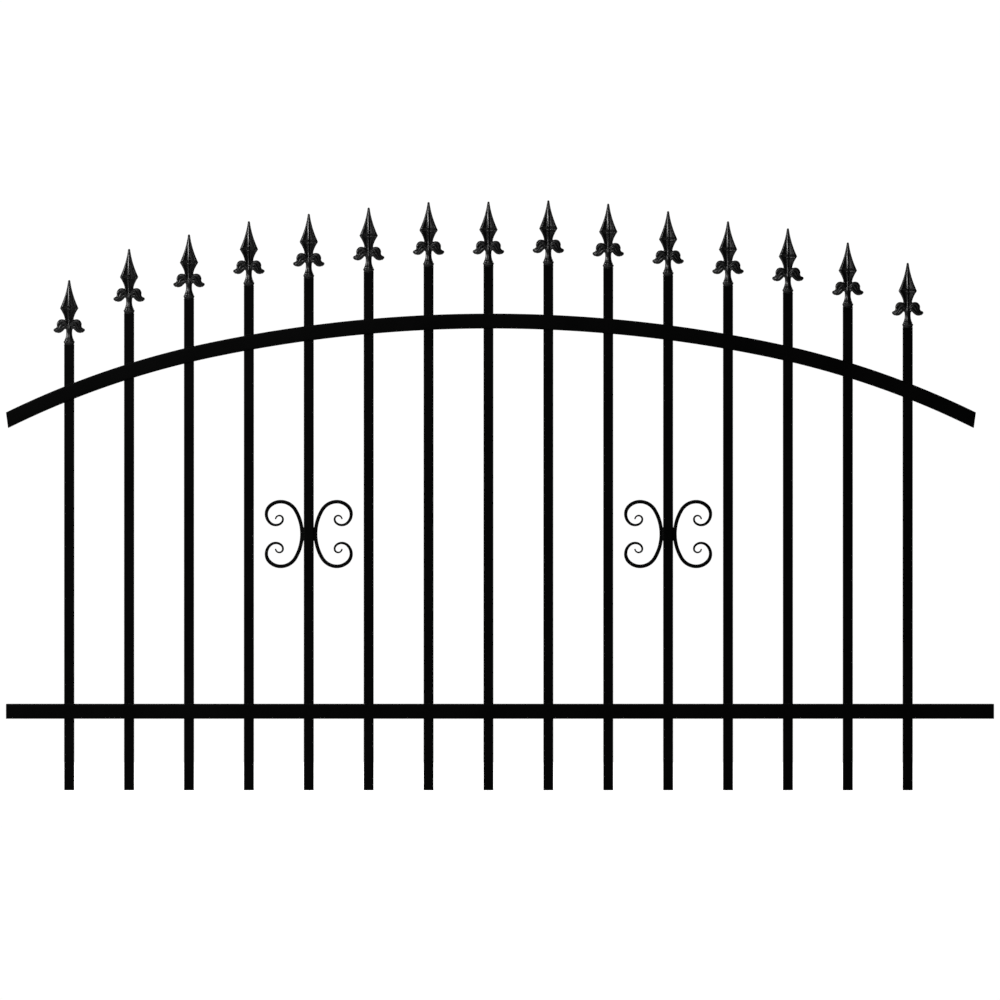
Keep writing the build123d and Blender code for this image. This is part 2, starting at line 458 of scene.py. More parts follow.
def poly_curve(name: str, lines: Sequence[np.ndarray]) -> bpy.types.Curve:
    """Curve data of straight-sided splines.

    Args:
        name: Name of the curve.
        lines: The points of each spline.

    Returns:
        The new curve data.
    """
    curve = bpy.data.curves.new(name, "CURVE")
    curve.dimensions = "3D"
    for line in lines:
        spline = curve.splines.new("POLY")
        spline.points.add(len(line) - 1)
        spline.points.foreach_set("co", np.column_stack([line, np.ones(len(line))]).ravel())
    return curve


# The share of its width that a rounded tip keeps at its very end, so that it stays closed
LEAST_TIP_SHARE = 0.02
# Stock that keeps more than this share of its thickness at its ends has square ends
UNDRAWN_SHARE = 0.999


def stock_tree() -> bpy.types.NodeTree:
    """Tree that lays square or flat stock along a path that lies in the XZ plane.

    The section has rounded corners and crowned front and back faces, and it may be drawn
    out thinner towards both ends of the path.

    Returns:
        The tree, with its sizes as named inputs.
    """
    tree = bpy.data.node_groups.new("stock along a path", "GeometryNodeTree")
    t = Tree(tree)
    t.socket("Path", "NodeSocketGeometry")
    for name in ("Thickness", "Depth", "Corner", "Crown", "Taper Length", "Tip Share"):
        t.socket(name, "NodeSocketFloat")
    t.socket("Finish", "NodeSocketMaterial")
    t.socket("Mesh", "NodeSocketGeometry", output=True)
    source = t.add("NodeGroupInput").outputs

    # Section: first direction across the stock, second one along the object's depth
    outline = t.add("GeometryNodeCurvePrimitiveQuadrilateral",
                    {"Width": source["Thickness"], "Height": source["Depth"]})
    finer = t.add("GeometryNodeSubdivideCurve", {"Curve": outline.outputs[0], "Cuts": 3})
    rounded = t.add("GeometryNodeFilletCurve",
                    {"Curve": finer.outputs[0], "Count": 5, "Radius": source["Corner"],
                     "Limit Radius": True}, mode="POLY")
    section = t.add("GeometryNodeCaptureAttribute", {"Geometry": rounded.outputs[0]})
    section.capture_items.new("VECTOR", "place")
    t.feed(section, 1, t.add("GeometryNodeInputPosition").outputs[0])

    # Path: its place, the way across it, and how much of the full thickness is left
    tangent = t.add("GeometryNodeInputTangent").outputs[0]
    across = t.vector("CROSS_PRODUCT", tangent, (0.0, 1.0, 0.0))
    parameter = t.add("GeometryNodeSplineParameter")
    length = t.add("GeometryNodeSplineLength").outputs[0]
    left_over = t.maths("SUBTRACT", length, parameter.outputs["Length"])
    to_end = t.maths("MINIMUM", parameter.outputs["Length"], left_over)
    along = t.maths("DIVIDE", to_end, source["Taper Length"])
    drawn = t.spread(along, 0.0, 1.0, source["Tip Share"], 1.0)
    tip_thickness = t.maths("MULTIPLY", source["Thickness"], source["Tip Share"])
    tip_radius = t.maths("MULTIPLY", tip_thickness, 0.5)
    short = t.maths("SUBTRACT", 1.0, t.maths("DIVIDE", to_end, tip_radius))
    short = t.maths("MAXIMUM", short, 0.0)
    round_share = t.maths("SUBTRACT", 1.0, t.maths("MULTIPLY", short, short))
    rounding = t.maths("SQRT", t.maths("MAXIMUM", round_share, LEAST_TIP_SHARE**2))
    is_drawn = t.maths("LESS_THAN", source["Tip Share"], UNDRAWN_SHARE)
    blended = t.maths("ADD", t.maths("MULTIPLY", rounding, is_drawn),
                      t.maths("SUBTRACT", 1.0, is_drawn))
    share = t.maths("MULTIPLY", drawn, blended)
    path = t.add("GeometryNodeCaptureAttribute", {"Geometry": source["Path"]})
    path.capture_items.new("VECTOR", "middle")
    path.capture_items.new("VECTOR", "across")
    path.capture_items.new("FLOAT", "share")
    t.feed(path, 1, t.add("GeometryNodeInputPosition").outputs[0])
    t.feed(path, 2, across)
    t.feed(path, 3, share)

    skin = t.add("GeometryNodeCurveToMesh", {"Curve": path.outputs[0],
                                             "Profile Curve": section.outputs[0],
                                             "Fill Caps": True})
    parts = t.add("ShaderNodeSeparateXYZ", {0: section.outputs[1]})
    half = t.maths("MULTIPLY", source["Thickness"], 0.5)
    off_middle = t.maths("DIVIDE", parts.outputs["X"], half)
    bulge = t.maths("MULTIPLY", source["Crown"],
                    t.maths("SUBTRACT", 1.0, t.maths("MULTIPLY", off_middle, off_middle)))
    side = t.maths("SIGN", parts.outputs["Y"])
    depth = t.maths("ADD", parts.outputs["Y"], t.maths("MULTIPLY", bulge, side))
    sideways = t.vector("SCALE", path.outputs[2],
                        scale=t.maths("MULTIPLY", parts.outputs["X"], path.outputs[3]))
    depthways = t.add("ShaderNodeCombineXYZ", {"Y": depth}).outputs[0]
    place = t.vector("ADD", t.vector("ADD", path.outputs[1], sideways), depthways)
    moved = t.add("GeometryNodeSetPosition", {"Geometry": skin.outputs[0], "Position": place})
    smooth = t.add("GeometryNodeSetShadeSmooth", {"Geometry": moved.outputs[0]})
    real = t.add("GeometryNodeRealizeInstances", {"Geometry": smooth.outputs[0]})
    dressed = t.add("GeometryNodeSetMaterial", {"Geometry": real.outputs[0],
                                                "Material": source["Finish"]})
    t.add("NodeGroupOutput", {0: dressed.outputs[0]})
    return tree


def bead_tree() -> bpy.types.NodeTree:
    """Tree that lays a weld bead along a path, as a row of overlapping ripples.

    Returns:
        The tree, with its sizes and seed as named inputs.
    """
    tree = bpy.data.node_groups.new("weld bead along a path", "GeometryNodeTree")
    t = Tree(tree)
    t.socket("Path", "NodeSocketGeometry")
    for name in ("Bead Radius", "Ripple Pitch", "Ripple Length", "Unevenness"):
        t.socket(name, "NodeSocketFloat")
    t.socket("Seed", "NodeSocketInt")
    t.socket("Finish", "NodeSocketMaterial")
    t.socket("Mesh", "NodeSocketGeometry", output=True)
    source = t.add("NodeGroupInput").outputs
    spots = t.add("GeometryNodeCurveToPoints", {"Curve": source["Path"],
                                                "Length": source["Ripple Pitch"]}, mode="LENGTH")
    ripple = t.add("GeometryNodeMeshIcoSphere", {"Radius": source["Bead Radius"], "Subdivisions": 2})
    least = t.maths("SUBTRACT", 1.0, source["Unevenness"])
    most = t.maths("ADD", 1.0, source["Unevenness"])
    size = t.add("FunctionNodeRandomValue", data_type="FLOAT")
    t.feed(size, 2, least)
    t.feed(size, 3, most)
    t.feed(size, "Seed", source["Seed"])
    thin = t.add("ShaderNodeCombineXYZ", {"X": size.outputs[1], "Y": size.outputs[1],
                                              "Z": source["Ripple Length"]})
    placed = t.add("GeometryNodeInstanceOnPoints",
                   {"Points": spots.outputs[0], "Instance": ripple.outputs[0],
                    "Rotation": spots.outputs["Rotation"], "Scale": thin.outputs[0]})
    real = t.add("GeometryNodeRealizeInstances", {"Geometry": placed.outputs[0]})
    smooth = t.add("GeometryNodeSetShadeSmooth", {"Geometry": real.outputs[0]})
    dressed = t.add("GeometryNodeSetMaterial", {"Geometry": smooth.outputs[0],
                                                "Material": source["Finish"]})
    t.add("NodeGroupOutput", {0: dressed.outputs[0]})
    return tree


# ---------------------------------------------------------------------------------------
# Finishes
# ---------------------------------------------------------------------------------------


def skin_group() -> bpy.types.NodeTree:
    """Shader group for a coated or cast skin: broad waves with a fine grain on them.

    Returns:
        The group, which puts out a height and a slow variation from 0 to 1.
    """
    tree = bpy.data.node_groups.new("coated skin", "ShaderNodeTree")
    t = Tree(tree)
    t.socket("Vector", "NodeSocketVector")
    for name, default in (("Wave Size", 0.002), ("Grain Size", 0.0004), ("Grain Share", 0.3)):
        t.socket(name, "NodeSocketFloat", default)
    t.socket("Height", "NodeSocketFloat", output=True)
    t.socket("Variation", "NodeSocketFloat", output=True)
    source = t.add("NodeGroupInput").outputs
    waves = t.add("ShaderNodeTexNoise", {"Vector": source["Vector"], "Detail": 2.0,
                                         "Scale": t.maths("DIVIDE", 1.0, source["Wave Size"])})
    grain = t.add("ShaderNodeTexNoise", {"Vector": source["Vector"], "Detail": 3.0,
                                         "Scale": t.maths("DIVIDE", 1.0, source["Grain Size"])})
    height = t.maths("MULTIPLY_ADD", grain.outputs["Fac"], source["Grain Share"],
                     waves.outputs["Fac"])
    slow = t.add("ShaderNodeTexNoise", {"Vector": source["Vector"], "Scale": 9.0, "Detail": 4.0})
    variation = t.spread(slow.outputs["Fac"], 0.35, 0.65, 0.0, 1.0)
    t.add("NodeGroupOutput", {"Height": height, "Variation": variation})
    return tree


def dust_group() -> bpy.types.NodeTree:
    """Shader group for thin dust that settles on faces that look up.

    Returns:
        The group, which puts out a mask.
    """
    tree = bpy.data.node_groups.new("settled dust", "ShaderNodeTree")
    t = Tree(tree)
    t.socket("Vector", "NodeSocketVector")
    t.socket("Amount", "NodeSocketFloat", 0.2)
    t.socket("Mask", "NodeSocketFloat", output=True)
    source = t.add("NodeGroupInput").outputs
    normal = t.add("ShaderNodeNewGeometry").outputs["Normal"]
    upward = t.spread(t.add("ShaderNodeSeparateXYZ", {0: normal}).outputs["Z"], 0.3, 1.0, 0.0, 1.0)
    patches = t.add("ShaderNodeTexNoise", {"Vector": source["Vector"], "Scale": 45.0, "Detail": 6.0})
    broken = t.spread(patches.outputs["Fac"], 0.4, 0.7, 0.15, 1.0)
    t.add("NodeGroupOutput", {"Mask": t.maths("MULTIPLY", t.maths("MULTIPLY", upward, broken),
                                              source["Amount"])})
    return tree


def edge_wear_and_highlight_group() -> bpy.types.NodeTree:
    """Shader group for ridges that weather has rubbed and lightened, partly real wear and partly a
    painted highlight, and hollows where paint has pooled.

    Returns:
        The group, which puts out a mask of each.
    """
    tree = bpy.data.node_groups.new("edge wear and painted highlight", "ShaderNodeTree")
    t = Tree(tree)
    t.socket("Vector", "NodeSocketVector")
    t.socket("Amount", "NodeSocketFloat", 0.5)
    t.socket("Mask", "NodeSocketFloat", output=True)
    t.socket("Hollows", "NodeSocketFloat", output=True)
    source = t.add("NodeGroupInput").outputs
    # Flat skin has 0.5, ridges have more and hollows less
    sharpness = t.add("ShaderNodeNewGeometry").outputs["Pointiness"]
    hollows = t.spread(sharpness, 0.49, 0.42, 0.0, 1.0)
    # Ridge mask: lighter edges, partly real wear and partly a painted highlight
    ridge_wear_and_highlight = t.spread(sharpness, 0.51, 0.6, 0.0, 1.0)
    patches = t.add("ShaderNodeTexNoise", {"Vector": source["Vector"], "Scale": 160.0, "Detail": 5.0})
    broken = t.spread(patches.outputs["Fac"], 0.35, 0.6, 0.25, 1.0)
    t.add("NodeGroupOutput", {"Mask": t.maths("MULTIPLY", t.maths("MULTIPLY", ridge_wear_and_highlight, broken),
                                              source["Amount"]),
                              "Hollows": hollows})
    return tree


@dataclass(frozen=True)
class Finish:
    """A dark coated or moulded surface.

    Sizes are in metres, colours are linear, and shares run from 0 to 1.
    """

    name: str
    colour: tuple[float, float, float]
    roughness: tuple[float, float]
    shine: float
    wave_size: float
    grain_size: float
    grain_share: float
    bump: float
    bump_height: float
    dust: float = 0.0
    # Ridge mask amount and colour: lighter edges, partly real wear and partly a painted highlight
    edge_wear_and_highlight: float = 0.0
    edge_wear_and_highlight_colour: tuple[float, float, float] = (0.09, 0.09, 0.092)
    dust_colour: tuple[float, float, float] = (0.12, 0.115, 0.105)
    shading: tuple[float, float] = (0.75, 1.25)
    dust_roughness: float = 0.3
    rub_polish: float = 0.08
    hollow_roughness: float = 0.45

    def material(self, groups: "EffectGroups") -> bpy.types.Material:
        """Build the material.

        Args:
            groups: The shader groups that the finishes share.

        Returns:
            The new material.
        """
        made = bpy.data.materials.new(self.name)
        made.use_nodes = True
        t = Tree(made.node_tree)
        place = t.add("ShaderNodeTexCoord").outputs["Object"]
        skin = t.add("ShaderNodeGroup", node_tree=groups.skin)
        for key, value in (("Vector", place), ("Wave Size", self.wave_size),
                           ("Grain Size", self.grain_size), ("Grain Share", self.grain_share)):
            t.feed(skin, key, value)
        dust = t.add("ShaderNodeGroup", node_tree=groups.dust)
        t.feed(dust, "Vector", place)
        t.feed(dust, "Amount", self.dust)
        edge_wear_and_highlight = t.add("ShaderNodeGroup", node_tree=groups.edge_wear_and_highlight)
        t.feed(edge_wear_and_highlight, "Vector", place)
        t.feed(edge_wear_and_highlight, "Amount", self.edge_wear_and_highlight)
        shade = t.spread(skin.outputs["Variation"], 0.0, 1.0, *self.shading)
        base = t.vector("SCALE", self.colour, scale=shade)
        # Ridges go paler: partly real wear, partly a painted highlight on the edges
        edge_wear_and_highlight_mix = t.add("ShaderNodeMix", {"Factor": edge_wear_and_highlight.outputs["Mask"]}, data_type="RGBA")
        t.feed(edge_wear_and_highlight_mix, 6, base)
        t.feed(edge_wear_and_highlight_mix, 7, (*self.edge_wear_and_highlight_colour, 1.0))
        dusty = t.add("ShaderNodeMix", {"Factor": dust.outputs["Mask"]}, data_type="RGBA")
        t.feed(dusty, 6, edge_wear_and_highlight_mix.outputs[2])
        t.feed(dusty, 7, (*self.dust_colour, 1.0))
        rough = t.spread(skin.outputs["Variation"], 0.0, 1.0, *self.roughness)
        rough = t.maths("ADD", rough, t.maths("MULTIPLY", dust.outputs["Mask"], self.dust_roughness))
        rough = t.maths("SUBTRACT", rough, t.maths("MULTIPLY", edge_wear_and_highlight.outputs["Mask"], self.rub_polish))
        rough = t.maths("ADD", rough, t.maths("MULTIPLY", edge_wear_and_highlight.outputs["Hollows"], self.hollow_roughness))
        bump = t.add("ShaderNodeBump", {"Height": skin.outputs["Height"], "Strength": self.bump,
                                        "Distance": self.bump_height})
        shader = t.add("ShaderNodeBsdfPrincipled",
                       {"Base Color": dusty.outputs[2], "Roughness": rough,
                        "Normal": bump.outputs[0], "Specular IOR Level": self.shine})
        t.add("ShaderNodeOutputMaterial", {"Surface": shader.outputs[0]})
        return made


@dataclass(frozen=True)
class EffectGroups:
    """Shader groups that several finishes use."""

    skin: bpy.types.NodeTree
    dust: bpy.types.NodeTree
    edge_wear_and_highlight: bpy.types.NodeTree


# The ridge amounts and colours below lighten edges: partly real wear, partly a painted highlight
FRAME_COAT = Finish("frame powder coat", (0.0007, 0.0007, 0.0007), (0.36, 0.46), 0.028,
                    0.0022, 0.0005, 0.25, 0.25, 0.00008, dust=0.012, edge_wear_and_highlight=0.25,
                    edge_wear_and_highlight_colour=(0.004, 0.004, 0.004))
SCROLL_COAT = Finish("scroll powder coat", (0.0008, 0.0008, 0.0008), (0.36, 0.46), 0.035,
                     0.0018, 0.0004, 0.3, 0.3, 0.00008, dust=0.012, edge_wear_and_highlight=0.35,
                     edge_wear_and_highlight_colour=(0.008, 0.008, 0.008))
WELD_COAT = Finish("coated weld bead", (0.0010, 0.0010, 0.0010), (0.38, 0.5), 0.05,
                   0.001, 0.0003, 0.4, 0.4, 0.0001, dust=0.012)
FINIAL_PAINT = Finish("painted cast iron", (0.0014, 0.0014, 0.00145), (0.26, 0.33), 0.32,
                      0.0016, 0.0005, 0.4, 0.25, 0.0001, dust=0.006, edge_wear_and_highlight=0.4,
                      edge_wear_and_highlight_colour=(0.02, 0.02, 0.0205))
PLUG_PLASTIC = Finish("moulded plug plastic", (0.008, 0.008, 0.008), (0.5, 0.62), 0.4,
                      0.0009, 0.00025, 0.6, 0.4, 0.0001)


# ---------------------------------------------------------------------------------------
# Sub-assemblies
# ---------------------------------------------------------------------------------------


@dataclass
class Workshop:
    """Node trees and finished materials that the sub-assemblies draw on."""

    stock: bpy.types.NodeTree = field(default_factory=stock_tree)
    bead: bpy.types.NodeTree = field(default_factory=bead_tree)
    finishes: dict[Slot, bpy.types.Material] = field(default_factory=dict)
    ripple_length: float = 0.75
    unevenness: float = 0.14

    def __post_init__(self) -> None:
        """Build the materials."""
        groups = EffectGroups(skin_group(), dust_group(), edge_wear_and_highlight_group())
        for slot, finish in ((Slot.FRAME, FRAME_COAT), (Slot.SCROLL, SCROLL_COAT),
                             (Slot.WELD, WELD_COAT), (Slot.FINIAL, FINIAL_PAINT),
                             (Slot.PLUG, PLUG_PLASTIC)):
            self.finishes[slot] = finish.material(groups)

    def lay_stock(self, name: str, path: np.ndarray, slot: Slot, thickness: float, depth: float,
                  corner: float, crown: float = 0.0, taper: float = 1.0,
                  tip_share: float = 1.0) -> bpy.types.Mesh:
        """Lay square or flat stock along a path in the XZ plane.

        Args:
            name: Name of the mesh.
            path: Points of the path, in order.
            slot: Slot whose finish the stock takes.
            thickness: Size of the stock across the path, in the XZ plane.
            depth: Size of the stock along Y.
            corner: Radius of its four long edges.
            crown: How far its front and back bulge in the middle.
            taper: Length over which each end is drawn out.
            tip_share: Share of the thickness that is left at the tips; 1 leaves it square.

        Returns:
            The stock's closed mesh.
        """
        mesh = run_tree(self.stock, poly_curve(name, [path]), name, {
            "Thickness": thickness, "Depth": depth, "Corner": corner, "Crown": crown,
            "Taper Length": taper, "Tip Share": tip_share, "Finish": self.finishes[slot]})
        face_outwards(mesh)
        return mesh

    def lay_beads(self, name: str, paths: Sequence[np.ndarray], radius: float, pitch: float,
                  seed: int) -> bpy.types.Mesh:
        """Lay a rippled weld bead along each path.

        Args:
            name: Name of the mesh.
            paths: Points of each bead's middle line.
            radius: Radius of a bead.
            pitch: Distance from one ripple to the next.
            seed: Seed of the ripples' uneven sizes.

        Returns:
            All the beads as one mesh.
        """
        return run_tree(self.bead, poly_curve(name, paths), name, {
            "Bead Radius": radius, "Ripple Pitch": pitch, "Ripple Length": self.ripple_length,
            "Unevenness": self.unevenness, "Seed": seed, "Finish": self.finishes[Slot.WELD]})


def middle_of(corners: Corners) -> Vector:
    """Middle of a box."""
    return (corners[0] + corners[1]) / 2


@dataclass
class Arch:
    """Shape of the top rail: a flat crown arc that runs on into tighter shoulders."""

    middle_x: float
    apex: float
    crown_radius: float = 2773 * MM
    crown_half_span: float = 567 * MM
    shoulder_radius: float = 1741 * MM

    def height(self, x: float, offset: float = 0.0) -> float:
        """Height at x of a line that runs offset above the arch's centreline.

        Args:
            x: Place along the panel.
            offset: Distance from the centreline, measured square to it.

        Returns:
            The height above the feet.
        """
        reach = abs(x - self.middle_x)
        turn = math.asin(self.crown_half_span / self.crown_radius)
        crown = self.crown_radius + offset
        if reach <= crown * math.sin(turn):
            return self.apex - self.crown_radius + math.sqrt(crown**2 - reach**2)
        inset = self.crown_radius - self.shoulder_radius
        shoulder = self.shoulder_radius + offset
        centre_z = self.apex - self.crown_radius + inset * math.cos(turn)
        return centre_z + math.sqrt(shoulder**2 - (reach - inset * math.sin(turn)) ** 2)


@dataclass
class Rails:
    """The straight bottom rail and the arched top rail, with their end plates and welds."""

    shop: Workshop
    size: float = 30 * MM
    corner: float = 2.5 * MM
    end_lean: float = math.radians(7.5)
    plate: float = 2 * MM
    plate_edge: float = 0.5 * MM
    station: float = 12 * MM
    weld_length: float = 13 * MM
    weld_radius: float = 2.1 * MM
    weld_pitch: float = 1.9 * MM
    weld_points: int = 9
    weld_setback: float = 0.35
    weld_lift: float = 0.2
    bottom_seed: int = 3
    top_seed: int = 4
    arch: Arch = field(init=False)
    left_x: float = field(init=False)
    top_right_x: float = field(init=False)
    bottom_right_x: float = field(init=False)
    bottom_z: float = field(init=False)

    def __post_init__(self) -> None:
        """Take the rails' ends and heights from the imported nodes."""
        self.left_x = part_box("bottom_rail_end_left")[0].x
        self.bottom_right_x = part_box("bottom_rail_end_right")[1].x
        self.bottom_z = middle_of(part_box("bottom_rail")).z
        self.top_right_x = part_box("top_rail_end_right")[1].x
        arch_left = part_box("top_rail_end_left")[0].x
        self.arch = Arch((arch_left + self.top_right_x) / 2,
                         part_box("top_rail")[1].z - self.size / 2)

    def level(self, x: float) -> float:
        """Height of the bottom rail's centreline."""
        return self.bottom_z

    def path(self, height: Callable[[float], float], right_x: float) -> np.ndarray:
        """Centreline of a rail, run on past both ends.

        Args:
            height: Height of the centreline at x.
            right_x: Where the rail ends on the right.

        Returns:
            Points along the centreline, from the left.
        """
        spare = self.size
        count = math.ceil((right_x - self.left_x + 2 * spare) / self.station)
        xs = np.linspace(self.left_x - spare, right_x + spare, count + 1)
        return np.array([(x, 0.0, height(x)) for x in xs])

    def make_rail(self, name: str, height: Callable[[float], float], right_x: float,
                  top_z: float, right_top_z: float, lean: float) -> None:
        """Make one rail and its two end plates.

        Args:
            name: The rail's node name.
            height: Height of the rail's centreline at x.
            right_x: Where the rail ends on the right.
            top_z: Height of the upper corner at the left end.
            right_top_z: The same at the right end.
            lean: How far the end cuts lean from upright.
        """
        ends = {Side.LEFT: (Vector((self.left_x, 0, top_z)),
                            Vector((-math.cos(lean), 0, -math.sin(lean)))),
                Side.RIGHT: (Vector((right_x, 0, right_top_z)),
                             Vector((math.cos(lean), 0, -math.sin(lean))))}
        path = self.path(height, right_x)
        coat = self.shop.finishes[Slot.FRAME]
        rail = self.shop.lay_stock(name, path, Slot.FRAME, self.size, self.size, self.corner)
        for corner, outwards in ends.values():
            cut_off(rail, corner - outwards * self.plate, outwards)
        rail = soften_edges(rail, self.plate_edge)
        finish_piece(f"{name}_tube", rail, coat, Slot.FRAME, name)
        for side, (corner, outwards) in ends.items():
            node = f"{name}_end_{side.word}"
            plate = self.shop.lay_stock(node, path, Slot.FRAME, self.size, self.size, self.corner)
            cut_off(plate, corner, outwards)
            cut_off(plate, corner - outwards * self.plate, -outwards)
            finish_piece(f"{node}_plate", soften_edges(plate, self.plate_edge), coat,
                         Slot.FRAME, node)

    def make_welds(self, name: str, bars: "Bars", height: Callable[[float, float], float],
                   seed: int) -> None:
        """Make the welds on top of a rail, in front of and behind each bar.

        Args:
            name: The welds' node name.
            bars: The row of bars.
            height: Height at x of a line that runs a distance above the rail's centreline.
            seed: Seed of the ripples' uneven sizes.
        """
        lines = []
        for bar in bars.boxes:
            middle = middle_of(bar)
            for side in (-1, 1):
                y = middle.y + side * (bars.size / 2 + self.weld_radius * self.weld_setback)
                xs = np.linspace(-0.5, 0.5, self.weld_points) * self.weld_length + middle.x
                lift = self.size / 2 + self.weld_radius * self.weld_lift
                lines.append(np.array([(x, y, height(x, lift)) for x in xs]))
        mesh = self.shop.lay_beads(name, lines, self.weld_radius, self.weld_pitch, seed)
        finish_piece(f"{name}_beads", mesh, self.shop.finishes[Slot.WELD], Slot.WELD, name)

    def make(self, bars: "Bars") -> None:
        """Make both rails and their welds.

        Args:
            bars: The row of bars that the rails are welded to.
        """
        half = self.size / 2
        self.make_rail("bottom_rail", self.level, self.bottom_right_x, self.bottom_z + half,
                       self.bottom_z + half, 0.0)
        self.make_rail("top_rail", self.arch.height, self.top_right_x,
                       self.arch.height(self.left_x, half),
                       self.arch.height(self.top_right_x, half), self.end_lean)
        self.make_welds("bottom_rail_welds", bars, lambda x, lift: self.bottom_z + lift,
                        self.bottom_seed)
        self.make_welds("top_rail_welds", bars, self.arch.height, self.top_seed)


@dataclass
class Bars:
    """The row of upright square bars, with the plugs in their feet."""

    shop: Workshop
    count: int = 15
    size: float = 20 * MM
    corner: float = 2 * MM
    cut_edge: float = 0.4 * MM
    plug_dome: float = 0.6 * MM
    plug_dome_segments: int = 3
    boxes: list[Corners] = field(init=False)

    def __post_init__(self) -> None:
        """Take the bars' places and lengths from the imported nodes."""
        self.boxes = [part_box(f"bar_{number:02d}") for number in range(1, self.count + 1)]

    def make(self) -> None:
        """Make every bar, then all foot plugs as one piece."""
        for number, (low, high) in enumerate(self.boxes, start=1):
            x = (low.x + high.x) / 2
            path = np.array([(x, 0.0, low.z), (x, 0.0, high.z)])
            name = f"bar_{number:02d}"
            bar = self.shop.lay_stock(name, path, Slot.FRAME, self.size, self.size, self.corner)
            finish_piece(f"{name}_tube", soften_edges(bar, self.cut_edge),
                         self.shop.finishes[Slot.FRAME], Slot.FRAME, name)
        self.make_plugs()

    def make_plugs(self) -> None:
        """Make the plastic plugs that close the bars' feet."""
        work = bmesh.new()
        for low, high in self.boxes:
            x = (low.x + high.x) / 2
            path = np.array([(x, 0.0, 0.0), (x, 0.0, low.z)])
            head = self.shop.lay_stock("plug", path, Slot.PLUG, self.size, self.size, self.corner)
            head = soften_edges(head, self.plug_dome, self.plug_dome_segments)
            work.from_mesh(head)
            bpy.data.meshes.remove(head)
        mesh = bpy.data.meshes.new("bar_foot_plugs")
        work.to_mesh(mesh)
        work.free()
        mesh.shade_smooth()
        finish_piece("bar_foot_plug_heads", mesh, self.shop.finishes[Slot.PLUG], Slot.PLUG,
                     "bar_foot_plugs")


